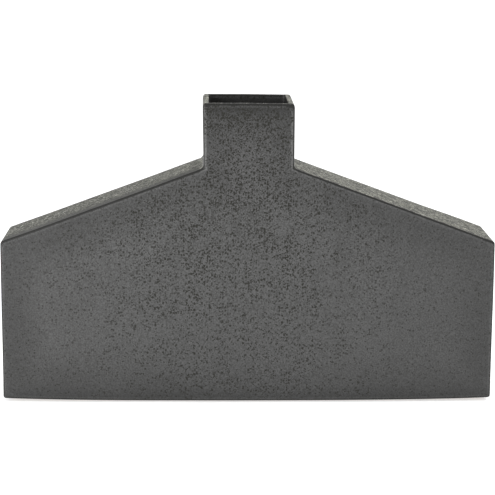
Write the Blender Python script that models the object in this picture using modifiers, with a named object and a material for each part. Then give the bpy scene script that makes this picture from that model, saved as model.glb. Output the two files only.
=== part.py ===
"""Slab-built stoneware vase: a flat, shouldered body with a square neck, standing on four felt pads.

Run with: blender --background --python part.py
Units are metres, +Z up. The origin is on the table, under the middle of the base.
X runs along the vase's width, and its front faces -Y.

The fired body is nine slabs. The front and the back slab are cut to the vase's whole outline.
Between them a strip of clay follows that outline: the base, two end walls, two shoulders and the
two side walls of the neck, mitred where they meet. Every joint is luted with slip.
"""

import math

import bmesh
import bpy
from mathutils import Vector

# Driving dimensions of the fired body. Heights are above the underside of its base.
BODY_WIDTH = 0.400
BODY_DEPTH = 0.074
RIM_HEIGHT = 0.245
SHOULDER_END_HEIGHT = 0.132
SHOULDER_NECK_HEIGHT = 0.192
NECK_WIDTH = 0.073
WALL = 0.005

# A luted joint is a film of slip this thick, and so is the adhesive that holds a pad.
JOINT = 0.0003

# Roundings that the potter's sponge leaves.
CORNER_RADIUS = 0.0025
ARRIS_RADIUS = 0.0018
CORNER_STEPS = 6
ARRIS_STEPS = 3

# Felt pads, set in from the ends and from the front and back faces.
PAD_RADIUS = 0.008
PAD_THICKNESS = 0.001
PAD_EDGE_RADIUS = 0.0002
PAD_FROM_END = 0.055
PAD_FROM_FACE = 0.019
PAD_SIDES = 48

# Worked out from the above.
HALF_WIDTH = BODY_WIDTH / 2
HALF_NECK = NECK_WIDTH / 2
STRIP_DEPTH = BODY_DEPTH - 2 * (WALL + JOINT)
BODY_LIFT = PAD_THICKNESS + JOINT

# The outline's corners, anticlockwise as seen from the front, as (x, height).
BOTTOM_LEFT, BOTTOM_RIGHT, END_RIGHT, FOOT_RIGHT, RIM_RIGHT, RIM_LEFT, FOOT_LEFT, END_LEFT = range(8)
OUTLINE = [
    Vector((-HALF_WIDTH, 0)),
    Vector((HALF_WIDTH, 0)),
    Vector((HALF_WIDTH, SHOULDER_END_HEIGHT)),
    Vector((HALF_NECK, SHOULDER_NECK_HEIGHT)),
    Vector((HALF_NECK, RIM_HEIGHT)),
    Vector((-HALF_NECK, RIM_HEIGHT)),
    Vector((-HALF_NECK, SHOULDER_NECK_HEIGHT)),
    Vector((-HALF_WIDTH, SHOULDER_END_HEIGHT)),
]

# Each strip of clay, with the outline's corners at its two ends.
STRIPS = {
    "base_slab": (BOTTOM_LEFT, BOTTOM_RIGHT),
    "right_end_slab": (BOTTOM_RIGHT, END_RIGHT),
    "right_shoulder_slab": (END_RIGHT, FOOT_RIGHT),
    "right_neck_slab": (FOOT_RIGHT, RIM_RIGHT),
    "left_neck_slab": (RIM_LEFT, FOOT_LEFT),
    "left_shoulder_slab": (FOOT_LEFT, END_LEFT),
    "left_end_slab": (END_LEFT, BOTTOM_LEFT),
}


def clear_scene():
    for obj in list(bpy.data.objects):
        bpy.data.objects.remove(obj)


def make_material(name, colour, roughness):
    material = bpy.data.materials.new(name)
    material.use_nodes = True
    shader = material.node_tree.nodes["Principled BSDF"]
    shader.inputs["Base Color"].default_value = (*colour, 1)
    shader.inputs["Roughness"].default_value = roughness
    shader.inputs["Metallic"].default_value = 0
    material.diffuse_color = (*colour, 1)
    return material


# Outlines


def inward(start, end):
    """The unit vector to the left of an edge, which is inwards on an anticlockwise outline."""
    along = (end - start).normalized()
    return Vector((-along.y, along.x))


def inner_corner(corners, index, distance):
    """The corner of the outline that runs the given distance inside this one."""
    corner = corners[index]
    before = inward(corners[index - 1], corner)
    after = inward(corner, corners[(index + 1) % len(corners)])
    return corner + (before + after) * distance / (1 + before.dot(after))


def rounded_corner(corners, index, radius):
    """An arc of the given radius in place of a corner, as CORNER_STEPS + 1 points."""
    corner = corners[index]
    back = (corners[index - 1] - corner).normalized()
    ahead = (corners[(index + 1) % len(corners)] - corner).normalized()
    half_angle = back.angle(ahead) / 2
    bisector = (back + ahead).normalized()
    centre = corner + bisector * radius / math.sin(half_angle)
    first = corner + back * radius / math.tan(half_angle) - centre
    sweep = math.pi - 2 * half_angle
    if back.cross(ahead) > 0:
        sweep = -sweep
    points = []
    for step in range(CORNER_STEPS + 1):
        angle = sweep * step / CORNER_STEPS
        turned = Vector(
            (
                first.x * math.cos(angle) - first.y * math.sin(angle),
                first.x * math.sin(angle) + first.y * math.cos(angle),
            )
        )
        points.append(centre + turned)
    return points


def mitred(arc, first_half, corners, index):
    """Half of a rounded corner, whose cut end stands half a joint back from the mitre."""
    middle = CORNER_STEPS // 2
    back = (corners[index - 1] - corners[index]).normalized()
    ahead = (corners[(index + 1) % len(corners)] - corners[index]).normalized()
    across = (back - ahead).normalized()
    if first_half:
        return arc[:middle] + [arc[middle] + across * JOINT / 2]
    return [arc[middle] - across * JOINT / 2] + arc[middle + 1 :]


def strip_outline(start, end):
    """The cross-section of the strip of clay between two corners of the vase's outline."""
    inner = [inner_corner(OUTLINE, i, WALL) for i in range(len(OUTLINE))]
    outer_start = rounded_corner(OUTLINE, start, CORNER_RADIUS)
    outer_end = rounded_corner(OUTLINE, end, CORNER_RADIUS)
    inner_start = rounded_corner(inner, start, CORNER_RADIUS)
    inner_end = rounded_corner(inner, end, CORNER_RADIUS)
    if start == RIM_LEFT:
        outer = outer_start + mitred(outer_end, True, OUTLINE, end)
        inside = [Vector((inner[start].x, RIM_HEIGHT))] + mitred(inner_end, True, inner, end)
    elif end == RIM_RIGHT:
        outer = mitred(outer_start, False, OUTLINE, start) + outer_end
        inside = mitred(inner_start, False, inner, start) + [Vector((inner[end].x, RIM_HEIGHT))]
    else:
        outer = mitred(outer_start, False, OUTLINE, start) + mitred(outer_end, True, OUTLINE, end)
        inside = mitred(inner_start, False, inner, start) + mitred(inner_end, True, inner, end)
    return outer + inside[::-1]


# Pieces


def upright_plate(name, points, thickness):
    """A flat outline that stands on the XZ plane, its thickness shared equally either side."""
    curve = bpy.data.curves.new(name, "CURVE")
    curve.dimensions = "2D"
    curve.fill_mode = "BOTH"
    curve.extrude = thickness / 2
    spline = curve.splines.new("POLY")
    spline.points.add(len(points) - 1)
    for place, point in zip(spline.points, points):
        place.co = (point.x, point.y, 0, 1)
    spline.use_cyclic_u = True
    plate = bpy.data.objects.new(name, curve)
    plate.rotation_euler.x = math.pi / 2
    return plate


def closed_mesh_of(plate):
    """The plate as a mesh with its caps welded on and each flat side one face."""
    bpy.context.scene.collection.objects.link(plate)
    graph = bpy.context.evaluated_depsgraph_get()
    mesh = bpy.data.meshes.new_from_object(plate.evaluated_get(graph))
    bpy.data.objects.remove(plate)
    shape = bmesh.new()
    shape.from_mesh(mesh)
    bmesh.ops.remove_doubles(shape, verts=shape.verts, dist=1e-6)
    bmesh.ops.dissolve_limit(shape, angle_limit=math.radians(1), verts=shape.verts, edges=shape.edges)
    shape.to_mesh(mesh)
    shape.free()
    return mesh


def round_outer_edges(slab, outer_side):
    """Bevels the edges round the slab's side at this local height, and leaves its jointed side sharp."""
    mesh = slab.data
    weights = mesh.attributes.new("bevel_weight_edge", "FLOAT", "EDGE")
    for edge in mesh.edges:
        ends = [mesh.vertices[i].co.z for i in edge.vertices]
        weights.data[edge.index].value = all(abs(z - outer_side) < 1e-6 for z in ends)
    bevel = slab.modifiers.new("Sponged arris", "BEVEL")
    bevel.limit_method = "WEIGHT"
    bevel.width = ARRIS_RADIUS
    bevel.segments = ARRIS_STEPS
    bevel.use_clamp_overlap = False


def make_face_slabs():
    """The front slab, and the back slab, which is the same piece turned round."""
    outline = []
    for index in range(len(OUTLINE)):
        outline += rounded_corner(OUTLINE, index, CORNER_RADIUS)
    plate = upright_plate("face_slab", outline, WALL)
    mesh = closed_mesh_of(plate)
    front = bpy.data.objects.new("front_slab", mesh)
    front.rotation_euler.x = math.pi / 2
    front.location.y = -(BODY_DEPTH - WALL) / 2
    back = bpy.data.objects.new("back_slab", mesh.copy())
    back.rotation_euler = (math.pi / 2, 0, math.pi)
    back.location.y = (BODY_DEPTH - WALL) / 2
    for slab in (front, back):
        round_outer_edges(slab, WALL / 2)
    return [front, back]


def make_strips():
    return [upright_plate(name, strip_outline(*ends), STRIP_DEPTH) for name, ends in STRIPS.items()]


def make_pads():
    """Four round pads of felt, which share one mesh."""
    mesh = bpy.data.meshes.new("felt_pad")
    shape = bmesh.new()
    bmesh.ops.create_cone(
        shape,
        cap_ends=True,
        segments=PAD_SIDES,
        radius1=PAD_RADIUS,
        radius2=PAD_RADIUS,
        depth=PAD_THICKNESS,
    )
    shape.to_mesh(mesh)
    shape.free()
    mesh.shade_smooth()
    mesh.set_sharp_from_angle(angle=math.radians(40))
    pads = []
    for row, side_y in (("front", -1), ("back", 1)):
        for side, side_x in (("left", -1), ("right", 1)):
            pad = bpy.data.objects.new(f"felt_pad_{row}_{side}", mesh)
            pad.location = (
                side_x * (HALF_WIDTH - PAD_FROM_END),
                side_y * (BODY_DEPTH / 2 - PAD_FROM_FACE),
                PAD_THICKNESS / 2,
            )
            bevel = pad.modifiers.new("Soft edge", "BEVEL")
            bevel.width = PAD_EDGE_RADIUS
            bevel.segments = 2
            bevel.limit_method = "ANGLE"
            bevel.angle_limit = math.radians(40)
            pads.append(pad)
    return pads


def main():
    clear_scene()
    glaze = make_material("Speckled charcoal glaze", (0.110, 0.110, 0.107), 0.5)
    bare_clay = make_material("Bare clay", (0.310, 0.245, 0.185), 0.85)
    felt = make_material("Felt", (0.030, 0.029, 0.028), 0.95)
    collection = bpy.data.collections.new("Stoneware vase")
    bpy.context.scene.collection.children.link(collection)

    body = bpy.data.objects.new("fired_body", None)
    body.location.z = BODY_LIFT
    collection.objects.link(body)
    for slab in make_face_slabs() + make_strips():
        slab.parent = body
        slab.data.materials.append(bare_clay if slab.name == "base_slab" else glaze)
        collection.objects.link(slab)

    pads = make_pads()
    pads[0].data.materials.append(felt)
    for pad in pads:
        collection.objects.link(pad)


main()
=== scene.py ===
"""The finished look of the slab-built stoneware vase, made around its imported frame.

The fired body is modelled once as a whole, hollow and with every arris sponged round. It is then cut
into its nine slabs along their luted joints, so that each slab is a closed piece of its own and the
glaze still runs over them without a seam. Units are metres; the front faces -Y.
"""

import math
import random

import bmesh
import bpy
import numpy as np
from mathutils import Matrix, Vector, noise


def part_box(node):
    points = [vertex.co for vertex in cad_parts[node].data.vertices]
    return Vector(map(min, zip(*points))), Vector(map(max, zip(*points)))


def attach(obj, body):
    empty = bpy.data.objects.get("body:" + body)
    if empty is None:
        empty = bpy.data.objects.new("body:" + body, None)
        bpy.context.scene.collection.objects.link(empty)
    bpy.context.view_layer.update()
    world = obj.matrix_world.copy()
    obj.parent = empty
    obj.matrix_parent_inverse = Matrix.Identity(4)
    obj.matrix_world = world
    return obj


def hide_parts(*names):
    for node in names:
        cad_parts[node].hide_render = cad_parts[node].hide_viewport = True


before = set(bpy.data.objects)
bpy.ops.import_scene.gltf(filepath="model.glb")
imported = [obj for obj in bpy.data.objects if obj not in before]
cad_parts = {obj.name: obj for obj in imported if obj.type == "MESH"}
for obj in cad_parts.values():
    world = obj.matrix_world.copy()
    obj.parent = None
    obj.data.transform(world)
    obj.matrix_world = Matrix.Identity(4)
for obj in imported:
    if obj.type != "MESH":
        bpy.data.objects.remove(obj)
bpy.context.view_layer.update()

# The frame's own sizes. Heights are above the table.
FRONT_LOW, FRONT_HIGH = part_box("front_slab")
HALF_WIDTH = FRONT_HIGH.x
HALF_DEPTH = -FRONT_LOW.y
WALL = FRONT_HIGH.y - FRONT_LOW.y
FOOT_HEIGHT = FRONT_LOW.z
RIM_HEIGHT = FRONT_HIGH.z
HALF_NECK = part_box("right_neck_slab")[1].x
JOINT_DEPTH = -(FRONT_HIGH.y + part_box("base_slab")[0].y) / 2
NECK_RISE = RIM_HEIGHT - FOOT_HEIGHT
# The outline's height at the two ends of a shoulder, which no box gives.
SHOULDER_END_HEIGHT = FOOT_HEIGHT + 0.132
SHOULDER_NECK_HEIGHT = FOOT_HEIGHT + 0.192

# How far the sponge has rounded each kind of edge.
FOOT_RADIUS = 0.0015
END_RADIUS = 0.0018
SHOULDER_RADIUS = 0.0013
NECK_RADIUS = 0.0022
FOOT_CORNER_RADIUS = 0.0020
END_CORNER_RADIUS = 0.0020
NECK_FOOT_RADIUS = 0.0030
RIM_OUTER_RADIUS = 0.0013
RIM_CORNER_RADIUS = 0.0034
RIM_INNER_RADIUS = 0.0009
CAVITY_RADIUS = 0.0025
WIDEST_RADIUS = 0.0035
ARRIS_SEGMENTS = 6

# How far the cutters reach past the whole body, and outside and inside the outline for one strip.
CUT_MARGIN = 0.020
CUT_OUTSIDE = 0.003
CUT_INSIDE = 0.009

# The grid that the surface is cut on before it is bent, the distance that counts as none, and how finely
# places are told apart.
GRID = 0.010
GRID_ACROSS = 0.012
TOUCHING = 1e-6
KEYS_PER_METRE = 1e5

# How the kiln has moved the body. A pair of sizes is where a movement starts and where it is full, or
# where it starts to fade and where it is gone. Heights are above the foot, and the others from the middle.
# The ends of the foot have lifted, in a band next to the outside.
END_LIFT = 0.0016
END_LIFT_HEIGHT = 0.060
LIFTED_FACE_DEPTH = 0.009
LIFTED_END_START = 0.172
# The front and back draw together towards the ends of the foot.
END_DRAW = 0.0032
END_DRAW_HEIGHTS = (0.010, 0.110)
# The neck is narrower at its foot, and its rim dips at the front and on the right.
NECK_DRAW_LEFT = 0.0005
NECK_DRAW_RIGHT = 0.0001
NECK_DRAW_HEIGHTS = (0.160, 0.195)
RIM_DIP = 0.0008
RIM_LEAN = 0.0004
# The left shoulder sags between its ends, and the right one rises towards its back corner.
LEFT_SHOULDER_SAG = 0.0003
SAG_START = (0.050, 0.085)
SAG_END = (0.165, 0.195)
BACK_RIGHT_LIFT = 0.0006
BACK_RIGHT_START = (0.140, 0.185)
SHOULDER_HEIGHTS = (0.100, 0.140)
# Every face waves a little, from front to back and along the vase.
WAVE = 0.0004
WAVE_ALONG = 0.0001
WAVE_LENGTH = 0.090

# How far the dark break reaches from each kind of arris, where the edge was before it was rounded.
FOOT_BREAK = 0.0012
END_BREAK = 0.0011
LEFT_SHOULDER_BREAK = 0.0017
RIGHT_SHOULDER_BREAK = 0.0015
NECK_BREAK = 0.0013
RIM_BREAK = 0.0018
MOUTH_BREAK = 0.0016

# What lies deeper than this under the outer surface is the inner wall, painted dark as the shade inside the
# vase, from just under the rim down.
SKIN = 0.8 * WALL
LINING_AND_SHADE_DEPTHS = (0.0008, 0.0022)

# Face labels, which are also material slots while the body is cut.
FLAT, ARRIS, JOINT = range(3)

FRONT_OUTLINE = [
    Vector((-HALF_WIDTH, FOOT_HEIGHT)),
    Vector((HALF_WIDTH, FOOT_HEIGHT)),
    Vector((HALF_WIDTH, SHOULDER_END_HEIGHT)),
    Vector((HALF_NECK, SHOULDER_NECK_HEIGHT)),
    Vector((HALF_NECK, RIM_HEIGHT)),
    Vector((-HALF_NECK, RIM_HEIGHT)),
    Vector((-HALF_NECK, SHOULDER_NECK_HEIGHT)),
    Vector((-HALF_WIDTH, SHOULDER_END_HEIGHT)),
]
CORNERS = len(FRONT_OUTLINE)
# The radius of the arris from each corner to the next.
OUTLINE_RADII = [
    FOOT_RADIUS,
    END_RADIUS,
    SHOULDER_RADIUS,
    NECK_RADIUS,
    RIM_OUTER_RADIUS,
    NECK_RADIUS,
    SHOULDER_RADIUS,
    END_RADIUS,
]
# How far the glaze breaks from each of those arrises.
OUTLINE_BREAKS = [
    FOOT_BREAK,
    END_BREAK,
    RIGHT_SHOULDER_BREAK,
    NECK_BREAK,
    RIM_BREAK,
    NECK_BREAK,
    LEFT_SHOULDER_BREAK,
    END_BREAK,
]
# The radius of each corner's own arris, which runs from front to back.
CORNER_RADII = [
    FOOT_CORNER_RADIUS,
    FOOT_CORNER_RADIUS,
    END_CORNER_RADIUS,
    NECK_FOOT_RADIUS,
    RIM_CORNER_RADIUS,
    RIM_CORNER_RADIUS,
    NECK_FOOT_RADIUS,
    END_CORNER_RADIUS,
]
# The corners' names, in the same order.
(
    BOTTOM_LEFT,
    BOTTOM_RIGHT,
    END_RIGHT,
    NECK_FOOT_RIGHT,
    RIM_RIGHT,
    RIM_LEFT,
    NECK_FOOT_LEFT,
    END_LEFT,
) = range(CORNERS)
# Each strip of clay and the two corners that it runs between.
STRIPS = {
    "base_slab": (BOTTOM_LEFT, BOTTOM_RIGHT),
    "right_end_slab": (BOTTOM_RIGHT, END_RIGHT),
    "right_shoulder_slab": (END_RIGHT, NECK_FOOT_RIGHT),
    "right_neck_slab": (NECK_FOOT_RIGHT, RIM_RIGHT),
    "left_neck_slab": (RIM_LEFT, NECK_FOOT_LEFT),
    "left_shoulder_slab": (NECK_FOOT_LEFT, END_LEFT),
    "left_end_slab": (END_LEFT, BOTTOM_LEFT),
}


# The whole body


def offset_corner(index, distance):
    """The outline's corner, moved so that its two edges run the given distance inside the outline."""
    corner = FRONT_OUTLINE[index]
    before = corner - FRONT_OUTLINE[index - 1]
    after = FRONT_OUTLINE[(index + 1) % CORNERS] - corner
    normals = [Vector((-edge.y, edge.x)).normalized() for edge in (before, after)]
    return corner + (normals[0] + normals[1]) * distance / (1 + normals[0].dot(normals[1]))


def sharp_body():
    """The sharp-edged hollow body, as a bmesh. An edge's bevel weight is its share of WIDEST_RADIUS."""
    shape = bmesh.new()
    weight = shape.edges.layers.float.new("bevel_weight_edge")
    inner_outline = [offset_corner(i, WALL) for i in range(CORNERS)]
    for i in (RIM_RIGHT, RIM_LEFT):
        inner_outline[i].y = RIM_HEIGHT

    def ring(outline, y):
        return [shape.verts.new((p.x, y, p.y)) for p in outline]

    outer_front = ring(FRONT_OUTLINE, -HALF_DEPTH)
    outer_back = ring(FRONT_OUTLINE, HALF_DEPTH)
    inner_front = ring(inner_outline, WALL - HALF_DEPTH)
    inner_back = ring(inner_outline, HALF_DEPTH - WALL)
    shape.faces.new(outer_front)
    shape.faces.new(outer_back[::-1])
    shape.faces.new(inner_front[::-1])
    shape.faces.new(inner_back)
    for i, j in STRIPS.values():
        shape.faces.new((outer_front[i], outer_back[i], outer_back[j], outer_front[j]))
        shape.faces.new((inner_front[i], inner_front[j], inner_back[j], inner_back[i]))

    def around_mouth(front, back):
        return [front[RIM_LEFT], front[RIM_RIGHT], back[RIM_RIGHT], back[RIM_LEFT]]

    rim_outer = around_mouth(outer_front, outer_back)
    rim_inner = around_mouth(inner_front, inner_back)
    for k in range(4):
        n = (k + 1) % 4
        shape.faces.new((rim_outer[k], rim_outer[n], rim_inner[n], rim_inner[k]))

    def round_edge(start, end, radius):
        shape.edges.get((start, end))[weight] = radius / WIDEST_RADIUS

    for edge in shape.edges:
        edge[weight] = CAVITY_RADIUS / WIDEST_RADIUS
    for i in range(CORNERS):
        for outer in (outer_front, outer_back):
            round_edge(outer[i], outer[(i + 1) % CORNERS], OUTLINE_RADII[i])
        round_edge(outer_front[i], outer_back[i], CORNER_RADII[i])
    for k in range(4):
        round_edge(rim_inner[k], rim_inner[(k + 1) % 4], RIM_INNER_RADIUS)
        round_edge(rim_outer[k], rim_inner[k], 0)
    return shape


def evaluated_mesh(obj):
    """The object's mesh with its modifiers applied; the object itself is removed."""
    bpy.context.scene.collection.objects.link(obj)
    graph = bpy.context.evaluated_depsgraph_get()
    mesh = bpy.data.meshes.new_from_object(obj.evaluated_get(graph))
    bpy.data.objects.remove(obj)
    return mesh


def rounded_body():
    """The whole body as a mesh, with its rounded edges labelled ARRIS."""
    shape = sharp_body()
    mesh = bpy.data.meshes.new("whole_body")
    shape.to_mesh(mesh)
    shape.free()
    for label in ("flat", "arris", "joint"):
        mesh.materials.append(bpy.data.materials.new(label))
    body = bpy.data.objects.new("whole_body", mesh)
    bevel = body.modifiers.new("Sponged edges", "BEVEL")
    bevel.limit_method = "WEIGHT"
    bevel.width = WIDEST_RADIUS
    bevel.segments = ARRIS_SEGMENTS
    bevel.material = ARRIS
    return evaluated_mesh(body)


# Cutting it into slabs


def prism(points, low_y, high_y):
    """A solid over a polygon in the XZ plane, for cutting one slab out of the body."""
    shape = bmesh.new()
    front = [shape.verts.new((p.x, low_y, p.y)) for p in points]
    back = [shape.verts.new((p.x, high_y, p.y)) for p in points]
    shape.faces.new(front)
    shape.faces.new(back[::-1])
    for i in range(len(points)):
        j = (i + 1) % len(points)
        shape.faces.new((front[i], back[i], back[j], front[j]))
    for face in shape.faces:
        face.material_index = JOINT
    mesh = bpy.data.meshes.new("cutter")
    shape.to_mesh(mesh)
    shape.free()
    return mesh


def strip_sector(start, end):
    """The part of the XZ plane that a strip of clay takes up between its two mitres."""
    points = [
        offset_corner(start, -CUT_OUTSIDE),
        offset_corner(end, -CUT_OUTSIDE),
        offset_corner(end, CUT_INSIDE),
        offset_corner(start, CUT_INSIDE),
    ]
    for point, corner in zip(points, (start, end, end, start)):
        if corner in (RIM_LEFT, RIM_RIGHT):
            point.y = RIM_HEIGHT + CUT_OUTSIDE
    return points


def cut_out(body_mesh, name, cutter_mesh):
    """The part of the body that lies inside the cutter, as a closed mesh."""
    slab = bpy.data.objects.new(name, body_mesh)
    cutter = bpy.data.objects.new("cutter", cutter_mesh)
    bpy.context.scene.collection.objects.link(cutter)
    cut = slab.modifiers.new("Luted joint", "BOOLEAN")
    cut.operation = "INTERSECT"
    cut.object = cutter
    mesh = evaluated_mesh(slab)
    bpy.data.objects.remove(cutter)
    return mesh


def slab_meshes():
    """Each slab's name and its closed mesh, still flat and true."""
    body = rounded_body()
    low_x, high_x = -HALF_WIDTH - CUT_MARGIN, HALF_WIDTH + CUT_MARGIN
    low_z, high_z = FOOT_HEIGHT - CUT_MARGIN, RIM_HEIGHT + CUT_MARGIN
    everywhere = [
        Vector((low_x, low_z)),
        Vector((high_x, low_z)),
        Vector((high_x, high_z)),
        Vector((low_x, high_z)),
    ]
    far = HALF_DEPTH + CUT_MARGIN
    meshes = {
        "front_slab": cut_out(body, "front_slab", prism(everywhere, -far, -JOINT_DEPTH)),
        "back_slab": cut_out(body, "back_slab", prism(everywhere, JOINT_DEPTH, far)),
    }
    for name, ends in STRIPS.items():
        meshes[name] = cut_out(body, name, prism(strip_sector(*ends), -JOINT_DEPTH, JOINT_DEPTH))
    return meshes


def slice_on_grid(mesh):
    """Cuts a slab's faces along the grid, so that it has points to bend by."""
    shape = bmesh.new()
    shape.from_mesh(mesh)

    def planes(low, high, step):
        return [step * k for k in range(math.ceil(low / step), math.floor(high / step) + 1)]

    cuts = [(0, x) for x in planes(-HALF_WIDTH, HALF_WIDTH, GRID)]
    cuts += [(1, y) for y in planes(-HALF_DEPTH, HALF_DEPTH, GRID_ACROSS)]
    cuts += [(2, z) for z in planes(0, RIM_HEIGHT, GRID)]
    for axis, place in cuts:
        normal = Vector((0, 0, 0))
        normal[axis] = 1
        bmesh.ops.bisect_plane(
            shape,
            geom=shape.verts[:] + shape.edges[:] + shape.faces[:],
            dist=TOUCHING,
            plane_co=normal * place,
            plane_no=normal,
        )
    shape.to_mesh(mesh)
    shape.free()


# Bending it


def arrises():
    """The sharp edges that the glaze breaks over, before rounding: start, end and how far it breaks."""
    edges = []
    for y in (-HALF_DEPTH, HALF_DEPTH):
        for i in range(CORNERS):
            a, b = FRONT_OUTLINE[i], FRONT_OUTLINE[(i + 1) % CORNERS]
            edges.append(((a.x, y, a.y), (b.x, y, b.y), OUTLINE_BREAKS[i]))
    for i in (BOTTOM_LEFT, BOTTOM_RIGHT, END_RIGHT, END_LEFT):
        p = FRONT_OUTLINE[i]
        edges.append(((p.x, -HALF_DEPTH, p.y), (p.x, HALF_DEPTH, p.y), END_BREAK))
    mouth_x = HALF_NECK - WALL
    for y in (WALL - HALF_DEPTH, HALF_DEPTH - WALL):
        edges.append(((-mouth_x, y, RIM_HEIGHT), (mouth_x, y, RIM_HEIGHT), MOUTH_BREAK))
    return edges


def arris_distances(points):
    """How far each point lies from the nearest of those edges, and from the nearest break's border."""
    from_arris = np.full(len(points), np.inf)
    from_break = np.full(len(points), np.inf)
    for start, end, reach in arrises():
        start, along = np.array(start), np.array(end) - np.array(start)
        share = np.clip((points - start) @ along / (along @ along), 0, 1)
        distance = np.linalg.norm(points - start - share[:, None] * along, axis=1)
        from_arris = np.minimum(from_arris, distance)
        from_break = np.minimum(from_break, distance - reach)
    return from_arris, from_break


def inside(points):
    """1 on the inner walls, which are painted dark as shade and drawn rougher, and 0 on the outside and the
    rim, from one to the other just under the rim.
    """
    x, y, z = np.abs(points[:, 0]), np.abs(points[:, 1]), points[:, 2]
    slope = (SHOULDER_NECK_HEIGHT - SHOULDER_END_HEIGHT) / (HALF_WIDTH - HALF_NECK)
    roof = SHOULDER_END_HEIGHT + slope * (HALF_WIDTH - x)
    under_roof = (roof - z) / math.hypot(1, slope)
    in_body = (x < HALF_WIDTH - SKIN) & (under_roof > SKIN) & (z > FOOT_HEIGHT + SKIN)
    in_neck = (x < HALF_NECK - SKIN) & (z > SHOULDER_END_HEIGHT)
    enclosed = (y < HALF_DEPTH - SKIN) & (in_body | in_neck)
    return enclosed * eased(RIM_HEIGHT - z, *LINING_AND_SHADE_DEPTHS)


def eased(value, low, high):
    """Smoothly from 0, where the value is low or less, to 1, where it is high or more."""
    t = np.clip((value - low) / (high - low), 0, 1)
    return t * t * (3 - 2 * t)


def bent(points):
    """Where the kiln has moved each point of the true body. Nothing moves outside the frame's box."""
    true_x, true_y = points[:, 0], points[:, 1]
    x, y, z = points.T.copy()
    height = z - FOOT_HEIGHT

    end = (x / HALF_WIDTH) ** 2
    near_face = eased(np.abs(y), HALF_DEPTH - LIFTED_FACE_DEPTH, HALF_DEPTH)
    near_end = eased(np.abs(x), LIFTED_END_START, HALF_WIDTH)
    z = z + END_LIFT * end**2 * np.maximum(near_face, near_end) * (1 - eased(height, 0, END_LIFT_HEIGHT))
    draw = END_DRAW * end * (1 - eased(height, *END_DRAW_HEIGHTS))
    y = y * (1 - draw / HALF_DEPTH)

    leftward = np.clip(-true_x / HALF_NECK, 0, 1)
    rightward = np.clip(true_x / HALF_NECK, 0, 1)
    up_neck = eased(height, NECK_DRAW_HEIGHTS[1], NECK_RISE)
    foot_of_neck = eased(height, *NECK_DRAW_HEIGHTS) * (1 - up_neck)
    x = x + foot_of_neck * (NECK_DRAW_LEFT * leftward - NECK_DRAW_RIGHT * rightward)
    z = z - RIM_DIP * up_neck * (0.5 - 0.5 * true_y / HALF_DEPTH)
    z = z - RIM_LEAN * up_neck * rightward

    at_shoulder = eased(height, *SHOULDER_HEIGHTS)
    on_left_shoulder = eased(-true_x, *SAG_START) * (1 - eased(-true_x, *SAG_END))
    z = z - LEFT_SHOULDER_SAG * on_left_shoulder * at_shoulder
    back_right = eased(true_x, *BACK_RIGHT_START) * eased(true_y, -HALF_DEPTH, HALF_DEPTH)
    z = z + BACK_RIGHT_LIFT * back_right * at_shoulder

    # Each direction sways by its own part of one field of noise.
    for k in range(len(x)):
        here = Vector(points[k]) / WAVE_LENGTH
        sway = [0.5 + 0.5 * noise.noise(here + Vector((7.0 * n, 3.0, 11.0 * n))) for n in (1, 2)]
        x[k] -= WAVE_ALONG * sway[0] * x[k] / HALF_WIDTH
        y[k] -= WAVE * sway[1] * y[k] / HALF_DEPTH
    return np.stack([x, y, z], axis=1)


# Shading it


def points_of(mesh):
    """The mesh's points, one to a row."""
    points = np.empty(len(mesh.vertices) * 3, np.float32)
    mesh.vertices.foreach_get("co", points)
    return points.reshape(-1, 3).astype(float)


def key_of(point):
    """The same key for any two points in one place, whichever slabs they belong to."""
    return tuple(np.round(point * KEYS_PER_METRE).astype(int))


def shade_across_joints(meshes, true_points):
    """Gives each slab the normals of the whole body: flats stay flat and arrises turn between them. The
    joints' own faces, which nobody sees, keep theirs."""
    on_flat, on_arris = {}, {}
    for name, mesh in meshes.items():
        keys = [key_of(p) for p in true_points[name]]
        for face in mesh.polygons:
            sums = {FLAT: on_flat, ARRIS: on_arris}.get(face.material_index)
            if sums is None:
                continue
            weighted = np.array(face.normal) * face.area
            for index in face.vertices:
                sums[keys[index]] = sums.get(keys[index], 0) + weighted
    for name, mesh in meshes.items():
        keys = [key_of(p) for p in true_points[name]]
        normals = []
        for face in mesh.polygons:
            for index in face.vertices:
                key = keys[index]
                total = on_flat.get(key, on_arris.get(key))
                if face.material_index == JOINT or total is None:
                    total = np.array(face.normal)
                normals.append(total / np.linalg.norm(total))
        mesh.polygons.foreach_set("use_smooth", [True] * len(mesh.polygons))
        mesh.normals_split_custom_set(normals)


# Materials


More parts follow.
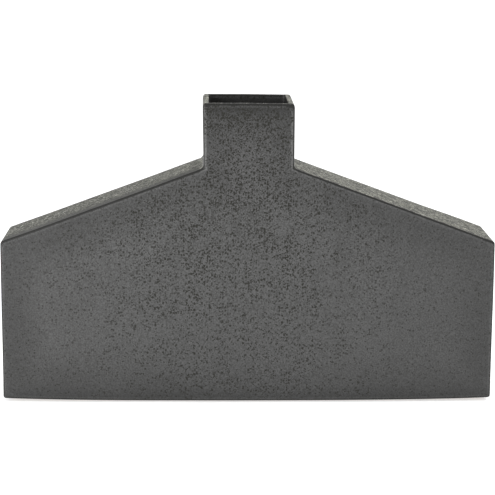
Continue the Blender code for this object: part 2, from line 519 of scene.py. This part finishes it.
class Graph:
    """A short way to write a material's nodes."""

    def __init__(self, name):
        self.material = bpy.data.materials.new(name)
        self.material.use_nodes = True
        self.tree = self.material.node_tree
        self.tree.nodes.clear()
        self.shader = self.add("ShaderNodeBsdfPrincipled")
        output = self.add("ShaderNodeOutputMaterial")
        self.tree.links.new(self.shader.outputs[0], output.inputs["Surface"])

    def add(self, kind, **settings):
        node = self.tree.nodes.new(kind)
        for key, value in settings.items():
            setattr(node, key, value)
        return node

    def feed(self, socket, value):
        """Links the value to the socket if it is another node's output, or else sets it there."""
        if isinstance(value, bpy.types.NodeSocket):
            self.tree.links.new(value, socket)
        else:
            socket.default_value = value

    def math(self, operation, first, second=0.0, clamp=False):
        node = self.add("ShaderNodeMath", operation=operation, use_clamp=clamp)
        self.feed(node.inputs[0], first)
        self.feed(node.inputs[1], second)
        return node.outputs[0]

    def ramp(self, value, low, high, to_low=0.0, to_high=1.0):
        """Smoothly from to_low, where the value is low or less, to to_high, where it is high or more."""
        node = self.add("ShaderNodeMapRange", interpolation_type="SMOOTHSTEP")
        for socket, number in zip(node.inputs, (value, low, high, to_low, to_high)):
            self.feed(socket, number)
        return node.outputs[0]

    def place(self):
        return self.add("ShaderNodeTexCoord").outputs["Object"]

    def along(self, axis):
        """The place on the object along its X, Y or Z axis."""
        node = self.add("ShaderNodeSeparateXYZ")
        self.feed(node.inputs[0], self.place())
        return node.outputs[axis]

    def noise(self, size, detail=2.0, roughness=0.5, stretch=(1, 1, 1)):
        """Noise about 0.5, its lumps as far apart as size in metres."""
        mapping = self.add("ShaderNodeMapping")
        self.feed(mapping.inputs["Vector"], self.place())
        mapping.inputs["Scale"].default_value = [1 / s for s in stretch]
        node = self.add("ShaderNodeTexNoise")
        self.feed(node.inputs["Vector"], mapping.outputs[0])
        node.inputs["Scale"].default_value = 1 / size
        node.inputs["Detail"].default_value = detail
        node.inputs["Roughness"].default_value = roughness
        return node.outputs["Fac"]

    def cells(self, size):
        """The distance to the nearest of many scattered points, in units of their spacing, and three
        chances from 0 to 1 that are each point's own."""
        node = self.add("ShaderNodeTexVoronoi")
        self.feed(node.inputs["Vector"], self.place())
        node.inputs["Scale"].default_value = 1 / size
        chances = self.add("ShaderNodeSeparateColor")
        self.feed(chances.inputs[0], node.outputs["Color"])
        return node.outputs["Distance"], chances.outputs

    def mixed(self, share, first, second):
        node = self.add("ShaderNodeMix", data_type="RGBA")
        self.feed(node.inputs["Factor"], share)
        self.feed(node.inputs["A"], first)
        self.feed(node.inputs["B"], second)
        return node.outputs["Result"]

    def scaled(self, colour, factor):
        node = self.add("ShaderNodeVectorMath", operation="SCALE")
        self.feed(node.inputs[0], colour)
        self.feed(node.inputs["Scale"], factor)
        return node.outputs[0]

    def attribute(self, name):
        return self.add("ShaderNodeAttribute", attribute_name=name).outputs["Fac"]

    def product(self, first, *others):
        """All of the values multiplied together."""
        for other in others:
            first = self.math("MULTIPLY", first, other)
        return first

    def wander(self, size, detail, amount):
        """Noise about 0, which ranges over roughly the given amount."""
        return self.product(self.math("SUBTRACT", self.noise(size, detail), 0.5), amount)

    def bump(self, height, distance, strength, below=None):
        """The normal over a relief so many metres deep, on top of the bump below it."""
        node = self.add("ShaderNodeBump")
        node.inputs["Strength"].default_value = strength
        node.inputs["Distance"].default_value = distance
        self.feed(node.inputs["Height"], height)
        if below is not None:
            self.feed(node.inputs["Normal"], below)
        return node.outputs[0]


# Colours, in linear light.
GLAZE_GREY = (0.0447, 0.0447, 0.0443)
# Painted light: the pale patches and glints on faces that look up stand in for the overhead light and the
# sheen of the tent on them.
PALE_TOP_LIGHT = (0.0930, 0.0925, 0.0720, 1)
FLECK_GLINT = (0.2500, 0.2490, 0.1960, 1)
IRON_SPECK = (0.0075, 0.0073, 0.0052, 1)
GLAZE_BREAK = (0.0050, 0.0049, 0.0042, 1)
# Painted shade: the inside of the vase is drawn near black, standing in for the shade that falls in it.
INSIDE_SHADE = (0.0045, 0.0045, 0.0043, 1)
BARE_CLAY = (0.310, 0.245, 0.185, 1)
GROG = (0.150, 0.115, 0.085, 1)
FELT_GREY = (0.030, 0.029, 0.028)

# The spacing of the two kinds of speck, and the size of the curdled grain between them.
COARSE_SPACING = 0.0021
FINE_SPACING = 0.0015
CURDLE = 0.0012

# How the plain glaze is drawn brighter or darker along an axis, in steps from one place to another: painted
# shade towards the foot and at the very foot, darker up the neck and just under the rim, and painted shade
# towards the right end.
SHADE_AND_TONE_STEPS = (
    # Painted shade: darker towards the foot, and most at the very foot.
    ("Z", -0.010, 0.085, 0.88, 1.0),
    ("Z", FOOT_HEIGHT, FOOT_HEIGHT + 0.014, 0.68, 1.0),
    ("Z", 0.195, 0.250, 1.0, 0.72),
    ("Z", RIM_HEIGHT - 0.014, RIM_HEIGHT - 0.001, 1.0, 0.45),
    # Painted shade: darker towards the right end.
    ("X", 0.020, 0.200, 1.0, 0.89),
)


def speck_crowding(g):
    """How thickly the specks lie: about 1 in the neck and down the middle, less towards the foot, the ends
    and the arrises, least at the right, and more again just under the rim."""
    x, z = g.along("X"), g.along("Z")
    leftward = g.ramp(x, -0.20, -0.02, 0.22, 1.0)
    rightward = g.ramp(x, 0.00, 0.170, 1.0, 0.12)
    higher = g.ramp(z, 0.02, 0.19, 0.36, 1.0)
    low_down = g.ramp(z, 0.0, 0.08, 0.10, 0.0)
    spread = g.math("ADD", g.product(leftward, rightward, higher), low_down)
    clusters = g.ramp(g.noise(0.015, 3.0, 0.6), 0.34, 0.64, 0.58, 1.20)
    edge = g.math("ADD", g.attribute("from_arris"), g.product(g.noise(0.015, 2.0), 0.010))
    clear_of_edge = g.ramp(edge, 0.006, 0.015, 0.25, 1.0)
    near_rim = g.ramp(z, RIM_HEIGHT - 0.045, RIM_HEIGHT - 0.012, 0.0, 1.45)
    return g.product(spread, clusters, g.math("MAXIMUM", clear_of_edge, near_rim))


def specks(g, spacing, radius, crowding, most):
    """Ragged specks at random, each as dark as chance makes it. Their widest radius is in units of the
    spacing. Where crowding is 1, the share most of the cells hold one."""
    distance, chance = g.cells(spacing)
    present = g.math("LESS_THAN", chance[0], g.product(crowding, most))
    reach = g.ramp(chance[1], 0.0, 1.0, radius * 0.65, radius)
    gap = g.math("SUBTRACT", reach, g.math("ADD", distance, g.wander(spacing * 0.6, 1.0, 0.85)))
    disc = g.math("MULTIPLY", gap, 16.0, clamp=True)
    faintest = g.ramp(crowding, 0.0, 0.8, 0.18, 1.0)
    darkest = g.ramp(crowding, 0.0, 0.5, 0.36, 1.0)
    return g.product(disc, present, g.ramp(chance[2], 0.0, 1.0, faintest, darkest))


def speckle(g):
    """How far the iron specks cover the glaze, and how bright the grain of the grey between them is."""
    crowding = speck_crowding(g)
    coarse = specks(g, COARSE_SPACING, radius=0.56, crowding=crowding, most=0.53)
    fine = specks(g, FINE_SPACING, radius=0.51, crowding=g.math("ADD", crowding, 0.34), most=0.41)
    speck = g.math("MAXIMUM", coarse, g.product(fine, 0.88))
    curdle = g.ramp(g.noise(CURDLE, 1.0, 0.6), 0.40, 0.62, -0.5, 0.5)
    curdle = g.product(curdle, g.ramp(crowding, 0.0, 1.1, 0.44, 0.78))
    speck = g.math("ADD", speck, g.math("MAXIMUM", curdle, 0.0), clamp=True)
    grain = g.math("SUBTRACT", 1.0, g.product(g.math("MINIMUM", curdle, 0.0), 0.6))
    return speck, g.product(grain, g.ramp(g.noise(0.0011, 1.0), 0.30, 0.70, 0.84, 1.16))


def glaze_tone_and_painted_light(g):
    """How bright the plain glaze is drawn: darker within a few centimetres of the arrises, which is painted
    shade and deepest on the left, but paler just beside a break, which is a painted highlight and strongest
    on the neck."""
    # Painted shade: the glaze is drawn darker near the arrises, most on the left.
    shade_at_arris = g.ramp(g.along("X"), -0.18, 0.02, 0.73, 0.80)
    arris_shade = g.ramp(g.attribute("from_arris"), 0.008, 0.042, shade_at_arris, 1.0)
    neck_foot = (SHOULDER_NECK_HEIGHT - 0.004, SHOULDER_NECK_HEIGHT + 0.002)
    # Painted highlight: a pale line just beside each break, brightest up the neck.
    highlight_gain = g.ramp(g.along("Z"), *neck_foot, 1.30, 2.10)
    break_highlight = g.ramp(g.attribute("from_break"), 0.0009, 0.0022, highlight_gain, 1.0)
    brightness = g.product(arris_shade, break_highlight)
    for axis, *step in SHADE_AND_TONE_STEPS:
        brightness = g.product(brightness, g.ramp(g.along(axis), *step))
    return brightness


def charcoal(g, speck, grain):
    """The colour of the glaze on upright faces, with its painted shade and painted highlights."""
    cloud = g.ramp(g.noise(0.055, 3.0, 0.55), 0.3, 0.7, 0.95, 1.05)
    grey = g.scaled(GLAZE_GREY, g.product(grain, cloud, glaze_tone_and_painted_light(g)))
    return g.mixed(speck, grey, IRON_SPECK)


def top_light_mottle(g, speck, sheen_patches, glint_flecks):
    """The colour of the glaze on faces that look up: pale patches and paler glints on a dark ground, which
    are painted overhead light and painted sheen; painted shade darkens the left shoulder and the right end,
    and the rim is painted brighter at its sides than at its front and back.
    """
    x = g.along("X")
    # Painted light: pale patches and glints laid on the tops as overhead light and sheen.
    colour = g.mixed(sheen_patches, g.scaled(GLAZE_GREY, 0.50), PALE_TOP_LIGHT)
    colour = g.mixed(g.product(glint_flecks, g.ramp(sheen_patches, 0.0, 1.0, 0.25, 1.0)), colour, FLECK_GLINT)
    colour = g.mixed(g.product(speck, 0.45), colour, IRON_SPECK)
    # Painted shade on the left shoulder and the right end; the rim painted brighter at its sides than at
    # its front and back.
    left_shade = g.ramp(x, -0.115, -0.035, 0.62, 1.0)
    shoulder_light = g.product(left_shade, g.ramp(x, 0.03, 0.19, 1.0, 0.86))
    from_middle = g.math("ABSOLUTE", g.along("Y"))
    mouth_edge = (HALF_DEPTH - WALL - 0.001, HALF_DEPTH - WALL + 0.001)
    rim_light = g.ramp(from_middle, *mouth_edge, 1.35, 0.55)
    return g.scaled(colour, g.ramp(g.attribute("upward"), 0.95, 1.0, shoulder_light, rim_light))


def top_light_share(g, facing_up):
    """How far the painted top light and sheen cover the glaze: they fade in behind the front arris, softest
    on the left.
    """
    soft_front = g.ramp(g.along("X"), -0.044, -0.0365, -HALF_DEPTH + 0.034, -HALF_DEPTH + 0.002)
    return g.product(g.ramp(g.along("Y"), -HALF_DEPTH, soft_front, 0.10, 1.0), facing_up)


def bare_share(g):
    """Where the foot has been wiped bare of glaze: the underside, but for a ragged border."""
    inward = g.math("ADD", g.attribute("from_arris"), g.wander(0.012, 3.0, 0.003))
    return g.product(g.ramp(g.attribute("underside"), 0.90, 0.99), g.ramp(inward, 0.0034, 0.0040))


def bare_clay(g):
    """Buff clay with darker grains of grog in it."""
    clay = g.mixed(g.ramp(g.noise(0.0014, 2.0, 0.7), 0.58, 0.66), BARE_CLAY, GROG)
    return g.scaled(clay, g.ramp(g.noise(0.030, 3.0), 0.3, 0.7, 0.88, 1.10))


def glaze_material():
    """A semi-matte charcoal glaze: dark iron specks that crowd round the neck, a pale mottle where it lies
    face up, which is painted overhead light and sheen, narrow dark breaks along the arrises with painted
    highlights beside them, painted shade near the arrises, the foot, the right end and inside, and bare
    clay under the foot."""
    g = Graph("speckled_glaze")
    lining_and_shade = g.attribute("inside")
    facing_up = g.ramp(g.attribute("upward"), 0.20, 0.70)
    speck, grain = speckle(g)
    sheen_patches = g.ramp(g.noise(0.0046, 4.0, 0.75), 0.34, 0.64)
    glint_flecks = g.ramp(g.noise(0.0019, 2.0, 0.6), 0.52, 0.62)
    top_light = top_light_share(g, facing_up)
    bare = bare_share(g)

    # The tops get the painted light and sheen, the upright faces their painted shade and highlights.
    colour = g.mixed(top_light, charcoal(g, speck, grain), top_light_mottle(g, speck, sheen_patches, glint_flecks))
    below_rim = g.math("SUBTRACT", RIM_HEIGHT, g.along("Z"))
    # The inner walls are painted dark as shade, a little less so just under the rim.
    colour = g.mixed(g.product(lining_and_shade, g.ramp(below_rim, 0.0015, 0.0080, 0.60, 0.95)), colour, INSIDE_SHADE)
    from_break = g.math("ADD", g.attribute("from_break"), g.wander(0.0035, 2.0, 0.0006))
    colour = g.mixed(g.ramp(from_break, -0.0002, 0.0002, 0.95, 0.0), colour, GLAZE_BREAK)
    g.feed(g.shader.inputs["Base Color"], g.mixed(bare, colour, bare_clay(g)))

    satin = g.ramp(g.noise(0.020, 3.0), 0.3, 0.7, 0.36, 0.44)
    satin = g.math("SUBTRACT", satin, g.product(speck, 0.06))
    satin = g.math("ADD", satin, g.product(lining_and_shade, 0.20))
    uneven = g.math("ADD", g.product(sheen_patches, 0.55), g.product(glint_flecks, 0.70))
    glossy = g.product(top_light, uneven)
    dull = g.product(g.math("SUBTRACT", 1.0, glossy), facing_up)
    satin = g.math("ADD", satin, g.product(dull, 0.46))
    g.feed(g.shader.inputs["Roughness"], g.math("ADD", satin, g.product(bare, 0.30)))
    g.shader.inputs["Specular IOR Level"].default_value = 0.24

    orange_peel = g.bump(g.noise(0.0045, 2.0, 0.5), 0.00022, 0.5)
    tooth = g.bump(g.noise(0.0009, 2.0, 0.6), 0.00006, 0.6, orange_peel)
    pitted = g.bump(g.product(speck, -1.0), 0.00008, 0.7, tooth)
    g.feed(g.shader.inputs["Normal"], pitted)
    return g.material


def felt_material():
    """Dense pressed wool: a tangle of fine fibres, paler where they stand up, with a soft sheen."""
    g = Graph("felt")
    fibres = g.noise(0.0005, 3.0, 0.7, (1, 4, 1))
    crossing = g.noise(0.0005, 3.0, 0.7, (4, 1, 1))
    tangle = g.math("MAXIMUM", fibres, crossing)
    pilling = g.noise(0.0030, 2.0)
    shade = g.math("ADD", g.ramp(tangle, 0.45, 0.75, 0.65, 1.35), g.ramp(pilling, 0.3, 0.7, -0.10, 0.10))
    g.feed(g.shader.inputs["Base Color"], g.scaled(FELT_GREY, shade))
    g.shader.inputs["Roughness"].default_value = 0.95
    g.shader.inputs["Sheen Weight"].default_value = 0.35
    g.shader.inputs["Sheen Roughness"].default_value = 0.6
    g.feed(g.shader.inputs["Normal"], g.bump(tangle, 0.00025, 0.9))
    return g.material


# Pieces


def mark_for_glaze(mesh, points):
    """Writes on each point of a slab what the glaze goes by, given the points as they were when true."""
    upward = np.zeros(len(points))
    for loop in mesh.loops:
        normal = mesh.corner_normals[loop.index].vector
        upward[loop.vertex_index] = max(upward[loop.vertex_index], normal.z)
    from_arris, from_break = arris_distances(points)
    marks = {
        "from_arris": from_arris,
        "from_break": from_break,
        "inside": inside(points),
        "underside": np.abs(points[:, 2] - FOOT_HEIGHT) < TOUCHING,
        "upward": upward,
    }
    for mark, values in marks.items():
        mesh.attributes.new(mark, "FLOAT", "POINT").data.foreach_set("value", np.float32(values))


def make_slabs(glaze):
    meshes = slab_meshes()
    true_points = {}
    for name, mesh in meshes.items():
        slice_on_grid(mesh)
        true_points[name] = points_of(mesh)
        mesh.vertices.foreach_set("co", bent(true_points[name]).astype(np.float32).ravel())
        mesh.update()
    shade_across_joints(meshes, true_points)
    for name, mesh in meshes.items():
        mark_for_glaze(mesh, true_points[name])
        mesh.name = name + "_glazed"
        mesh.materials.clear()
        mesh.materials.append(glaze)
        for face in mesh.polygons:
            face.material_index = 0
        slab = bpy.data.objects.new(name + "_glazed", mesh)
        bpy.context.scene.collection.objects.link(slab)
        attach(slab, "root")
        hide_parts(name)


PAD_SIDES = 72
PAD_RINGS = 8
PAD_EDGE = 0.0005
PAD_EDGE_STEPS = 5
PAD_FUZZ = 0.00018


def felt_profile(radius, thickness):
    """The disc's half section, from near its middle underneath, round the edge, to near its middle on top:
    how far out and how far up each point lies."""
    flat = radius - PAD_EDGE
    turns = [math.pi / 2 * k / PAD_EDGE_STEPS for k in range(PAD_EDGE_STEPS + 1)]
    spokes = [radius * k / PAD_RINGS for k in range(1, PAD_RINGS)]
    profile = [(out, 0.0) for out in spokes]
    for a in turns:
        profile.append((flat + PAD_EDGE * math.sin(a), PAD_EDGE * (1 - math.cos(a))))
    for a in turns:
        profile.append((flat + PAD_EDGE * math.cos(a), thickness - PAD_EDGE * (1 - math.sin(a))))
    profile += [(out, thickness) for out in reversed(spokes)]
    return profile


def felt_disc(name, low, high, seed):
    """A punched disc of felt: a soft edge, a slightly uneven outline, and a flat face to stand on."""
    rng = random.Random(seed)
    centre = (low + high) / 2
    radius = (high.x - low.x) / 2 - PAD_FUZZ
    shape = bmesh.new()
    wobble = [rng.uniform(-1, 1) for _ in range(PAD_SIDES)]
    rings = []
    for out, up in felt_profile(radius, high.z - low.z):
        ring = []
        # Only the edge is uneven: nearer the middle the fuzz has died away.
        fuzz = PAD_FUZZ * (out / radius) ** 6
        for k in range(PAD_SIDES):
            angle = 2 * math.pi * k / PAD_SIDES
            reach = out + fuzz * (0.7 * wobble[k] + 0.3 * rng.uniform(-1, 1))
            spot = (centre.x + reach * math.cos(angle), centre.y + reach * math.sin(angle), low.z + up)
            ring.append(shape.verts.new(spot))
        rings.append(ring)
    for lower, upper in zip(rings, rings[1:]):
        for k in range(PAD_SIDES):
            n = (k + 1) % PAD_SIDES
            shape.faces.new((lower[k], lower[n], upper[n], upper[k]))
    underside_hub = shape.verts.new((centre.x, centre.y, low.z))
    for k in range(PAD_SIDES):
        shape.faces.new((rings[0][(k + 1) % PAD_SIDES], rings[0][k], underside_hub))
    top_hub = shape.verts.new((centre.x, centre.y, high.z))
    for k in range(PAD_SIDES):
        shape.faces.new((rings[-1][k], rings[-1][(k + 1) % PAD_SIDES], top_hub))
    mesh = bpy.data.meshes.new(name)
    shape.to_mesh(mesh)
    shape.free()
    mesh.shade_smooth()
    return bpy.data.objects.new(name, mesh)


def make_pads(felt):
    pads = [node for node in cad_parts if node.startswith("felt_pad")]
    for seed, node in enumerate(sorted(pads)):
        pad = felt_disc(node + "_pressed", *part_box(node), seed)
        pad.data.materials.append(felt)
        bpy.context.scene.collection.objects.link(pad)
        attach(pad, "root")
        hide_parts(node)


# The studio

FLOOR_SIZE = 40
FLOOR_SQUARES = 20
FLOOR_WHITE = (0.58, 0.58, 0.58, 1)
FLOOR_GLOW = 0.46
# How bright the tent is at the horizon and below it, and near the top.
TENT_SIDES = 0.95
TENT_TOP = 1.30
# Each soft box: where it hangs, its width and height, and its power in watts.
SOFT_BOXES = {
    "front_left": ((-1.2, -1.5, 0.55), (0.6, 0.8), 33),
    "left": ((-1.4, -0.3, 0.2), (0.4, 0.8), 8),
    "right": ((1.3, -1.2, 0.3), (0.4, 0.8), 5),
    "overhead": ((1.0, 0.3, 1.4), (1.0, 1.0), 16),
}
VASE_MIDDLE = (0, 0, 0.12)
CAMERA_PLACE = (-0.0356, -1.4888, 0.3898 + FOOT_HEIGHT)
# Its angles in degrees: down from level, right of straight ahead, and turned about its own axis.
CAMERA_PITCH = 10.2310
CAMERA_YAW = 1.3790
CAMERA_ROLL = 0.255
# Its lens and sensor in millimetres.
LENS = 132.95
SENSOR = 36


def make_floor():
    """A white acrylic sheet, lit a little from below, as a light table is."""
    bpy.ops.mesh.primitive_grid_add(
        x_subdivisions=FLOOR_SQUARES,
        y_subdivisions=FLOOR_SQUARES,
        size=FLOOR_SIZE,
    )
    floor = bpy.context.object
    floor.name = "studio_floor"
    g = Graph("studio_floor")
    g.shader.inputs["Base Color"].default_value = FLOOR_WHITE
    g.shader.inputs["Roughness"].default_value = 0.9
    g.shader.inputs["Emission Color"].default_value = (1, 1, 1, 1)
    g.shader.inputs["Emission Strength"].default_value = FLOOR_GLOW
    floor.data.materials.append(g.material)


def soft_box(name, place, size, power):
    """A rectangular light that faces the vase."""
    light = bpy.data.lights.new(name, "AREA")
    light.shape = "RECTANGLE"
    light.size, light.size_y = size
    light.energy = power
    lamp = bpy.data.objects.new(name, light)
    lamp.location = place
    lamp.rotation_euler = (Vector(VASE_MIDDLE) - Vector(place)).to_track_quat("-Z", "Y").to_euler()
    bpy.context.scene.collection.objects.link(lamp)


def make_lights():
    """A white tent, bright overhead and dimmer round the sides, and its soft boxes, the strongest of them
    in front on the left."""
    world = bpy.data.worlds.new("studio")
    world.use_nodes = True
    tree = world.node_tree
    direction = tree.nodes.new("ShaderNodeTexCoord")
    height = tree.nodes.new("ShaderNodeSeparateXYZ")
    tree.links.new(direction.outputs["Generated"], height.inputs[0])
    tent = tree.nodes.new("ShaderNodeMapRange")
    tent.interpolation_type = "SMOOTHSTEP"
    tree.links.new(height.outputs["Z"], tent.inputs["Value"])
    for socket, number in zip(tent.inputs[1:], (0.0, 0.8, TENT_SIDES, TENT_TOP)):
        socket.default_value = number
    background = tree.nodes["Background"]
    background.inputs["Color"].default_value = (1, 1, 1, 1)
    tree.links.new(tent.outputs[0], background.inputs["Strength"])
    bpy.context.scene.world = world
    for name, (place, size, power) in SOFT_BOXES.items():
        soft_box(name, place, size, power)


def make_camera():
    """The camera of a catalogue photograph: a long lens, a little above the vase and left of its middle."""
    pitch, yaw, roll = (math.radians(a) for a in (CAMERA_PITCH, CAMERA_YAW, CAMERA_ROLL))
    ahead = Vector((math.sin(yaw) * math.cos(pitch), math.cos(yaw) * math.cos(pitch), -math.sin(pitch)))
    level_right = Vector((math.cos(yaw), -math.sin(yaw), 0))
    level_up = level_right.cross(ahead)
    right = level_right * math.cos(roll) + level_up * math.sin(roll)
    up = level_up * math.cos(roll) - level_right * math.sin(roll)
    turn = Matrix((right, up, -ahead)).transposed().to_4x4()
    camera = bpy.data.objects.new("camera", bpy.data.cameras.new("camera"))
    camera.data.lens = LENS
    camera.data.sensor_width = SENSOR
    camera.matrix_world = Matrix.Translation(CAMERA_PLACE) @ turn
    bpy.context.scene.collection.objects.link(camera)
    bpy.context.scene.camera = camera


make_slabs(glaze_material())
make_pads(felt_material())
make_floor()
make_lights()
make_camera()
bpy.context.scene.view_settings.view_transform = "Standard"
